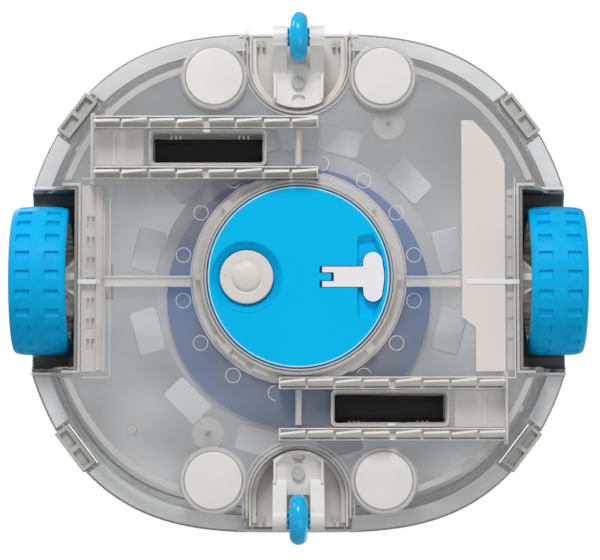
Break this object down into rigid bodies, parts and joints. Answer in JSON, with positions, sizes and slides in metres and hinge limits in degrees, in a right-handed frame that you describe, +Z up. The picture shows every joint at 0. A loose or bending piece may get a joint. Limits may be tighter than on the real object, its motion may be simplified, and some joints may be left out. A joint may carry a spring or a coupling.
{
  "type": "robotic pool cleaner",
  "caption": "Cordless robotic pool cleaner with a clear bottom tray, floor inlets between wiper strips, a sealed pod, treaded wheels and swivelling guide rollers.",
  "frame": {"origin": "on the ground, midway between the two main wheels", "axes": "+X to the right wheel along the axles, -Y to the front roller, +Z up"},
  "size_m": [0.3978, 0.3686, 0.1899],
  "materials": {
    "clear_plastic": "clear, slightly hazed",
    "white_plastic": "fine matte",
    "grey_plastic": "fine matte",
    "dark_plastic": "matte",
    "blue_plastic": "satin gloss",
    "blue_rubber": "moulded tread",
    "black_rubber": "soft sheet",
    "lever_white": "satin gloss",
    "steel": "brushed",
    "board_green": "solder mask",
    "battery_wrap": "heat-shrink",
    "mesh_screen": "fine woven mesh"
  },
  "bodies": {
    "chassis": {"bottom_tray": "clear_plastic", "side_baffle_left": "grey_plastic", "side_baffle_right": "white_plastic", "wheel_arch_left": "dark_plastic", "wheel_arch_right": "dark_plastic", "axle_left": "steel", "axle_right": "steel", "axle_block_left": "grey_plastic", "axle_block_right": "grey_plastic", "inlet_duct_front": "grey_plastic", "inlet_duct_rear": "grey_plastic", "wiper_outer_front": "white_plastic", "wiper_inner_front": "white_plastic", "wiper_outer_rear": "white_plastic", "wiper_inner_rear": "white_plastic", "ballast_cap_1": "white_plastic", "ballast_cap_2": "white_plastic", "ballast_cap_3": "white_plastic", "ballast_cap_4": "white_plastic", "retaining_ring": "clear_plastic", "pod_seal": "white_plastic", "pod_cover": "blue_plastic", "pod_housing": "blue_plastic", "battery_pack": "battery_wrap", "control_board": "board_green", "pump_motor": "steel", "charge_socket": "dark_plastic", "pivot_screw_front": "steel", "pivot_screw_rear": "steel", "pull_handle_pin": "steel"},
    "wheel_left": {"tyre_left": "blue_rubber", "wheel_hub_left": "grey_plastic"},
    "wheel_right": {"tyre_right": "blue_rubber", "wheel_hub_right": "grey_plastic"},
    "guide_front": {"guide_bracket_front": "grey_plastic", "roller_pin_front": "steel"},
    "guide_rear": {"guide_bracket_rear": "grey_plastic", "roller_pin_rear": "steel"},
    "roller_front": {"roller_front": "blue_plastic"},
    "roller_rear": {"roller_rear": "blue_plastic"},
    "inlet_flap_front": {"inlet_flap_front": "black_rubber"},
    "inlet_flap_rear": {"inlet_flap_rear": "black_rubber"},
    "pull_handle": {"pull_handle": "lever_white"},
    "charge_cap": {"charge_cap": "grey_plastic"},
    "power_button": {"power_button": "lever_white"},
    "pump_rotor": {"pump_shaft": "steel", "impeller": "blue_plastic"},
    "side_clip_1": {"side_clip_1": "grey_plastic"},
    "side_clip_2": {"side_clip_2": "grey_plastic"},
    "side_clip_3": {"side_clip_3": "grey_plastic"},
    "side_clip_4": {"side_clip_4": "grey_plastic"},
    "cover": {"top_cover": "white_plastic", "water_outlet": "blue_plastic", "outlet_neck": "blue_plastic", "filter_frame": "white_plastic", "filter_seat_ring": "blue_plastic", "filter_screen": "mesh_screen"},
    "diverter": {"diverter_flap": "white_plastic"},
    "carry_handle": {"carry_handle": "grey_plastic"}
  },
  "joints": [
    {"name": "wheel_left_spin", "type": "hinge", "parent": "chassis", "child": "wheel_left", "pos_m": [-0.1793, 0, 0.052], "axis": [1, 0, 0], "continuous": true},
    {"name": "wheel_right_spin", "type": "hinge", "parent": "chassis", "child": "wheel_right", "pos_m": [0.1793, 0, 0.052], "axis": [1, 0, 0], "continuous": true},
    {"name": "guide_front_swivel", "type": "hinge", "parent": "chassis", "child": "guide_front", "pos_m": [0, -0.136, 0.05], "axis": [0, 0, 1], "range_deg": [-20, 20]},
    {"name": "roller_front_spin", "type": "hinge", "parent": "guide_front", "child": "roller_front", "pos_m": [0, -0.167, 0.0175], "axis": [1, 0, 0], "continuous": true},
    {"name": "inlet_flap_front_open", "type": "hinge", "parent": "chassis", "child": "inlet_flap_front", "pos_m": [-0.063, -0.0975, 0.0455], "axis": [1, 0, 0], "range_deg": [0, 65]},
    {"name": "guide_rear_swivel", "type": "hinge", "parent": "chassis", "child": "guide_rear", "pos_m": [0, 0.136, 0.05], "axis": [0, 0, 1], "range_deg": [-20, 20]},
    {"name": "roller_rear_spin", "type": "hinge", "parent": "guide_rear", "child": "roller_rear", "pos_m": [0, 0.167, 0.0175], "axis": [1, 0, 0], "continuous": true},
    {"name": "inlet_flap_rear_open", "type": "hinge", "parent": "chassis", "child": "inlet_flap_rear", "pos_m": [0.063, 0.0975, 0.0455], "axis": [-1, 0, 0], "range_deg": [0, 65]},
    {"name": "pull_handle_fold", "type": "hinge", "parent": "chassis", "child": "pull_handle", "pos_m": [0.0188, 0, 0.0222], "axis": [0, 1, 0], "range_deg": [0, 90]},
    {"name": "charge_cap_pull", "type": "slide", "parent": "chassis", "child": "charge_cap", "axis": [0, 0, -1], "range_m": [0, 0.03]},
    {"name": "power_button_press", "type": "slide", "parent": "chassis", "child": "power_button", "axis": [0, 0, 1], "range_m": [0, 0.001], "stiffness_N_per_m": 400},
    {"name": "pump_rotor_spin", "type": "hinge", "parent": "chassis", "child": "pump_rotor", "pos_m": [0, 0, 0.119], "axis": [0, 0, 1], "continuous": true},
    {"name": "side_clip_1_open", "type": "hinge", "parent": "chassis", "child": "side_clip_1", "pos_m": [0.15341, 0.11518, 0.0545], "axis": [-0.6062, 0.7953, 0], "range_deg": [0, 60]},
    {"name": "side_clip_2_open", "type": "hinge", "parent": "chassis", "child": "side_clip_2", "pos_m": [-0.15341, 0.11518, 0.0545], "axis": [-0.6062, -0.7953, 0], "range_deg": [0, 60]},
    {"name": "side_clip_3_open", "type": "hinge", "parent": "chassis", "child": "side_clip_3", "pos_m": [-0.15341, -0.11518, 0.0545], "axis": [0.6062, -0.7953, 0], "range_deg": [0, 60]},
    {"name": "side_clip_4_open", "type": "hinge", "parent": "chassis", "child": "side_clip_4", "pos_m": [0.15341, -0.11518, 0.0545], "axis": [0.6062, 0.7953, 0], "range_deg": [0, 60]},
    {"name": "top_cover_lift", "type": "slide", "parent": "chassis", "child": "cover", "axis": [0, 0, 1], "range_m": [0, 0.16]},
    {"name": "diverter_swing", "type": "hinge", "parent": "cover", "child": "diverter", "pos_m": [0, 0, 0.1825], "axis": [1, 0, 0], "range_deg": [-40, 40]},
    {"name": "carry_handle_swing", "type": "hinge", "parent": "cover", "child": "carry_handle", "pos_m": [0, 0, 0.1655], "axis": [1, 0, 0], "range_deg": [0, 90]}
  ]
}
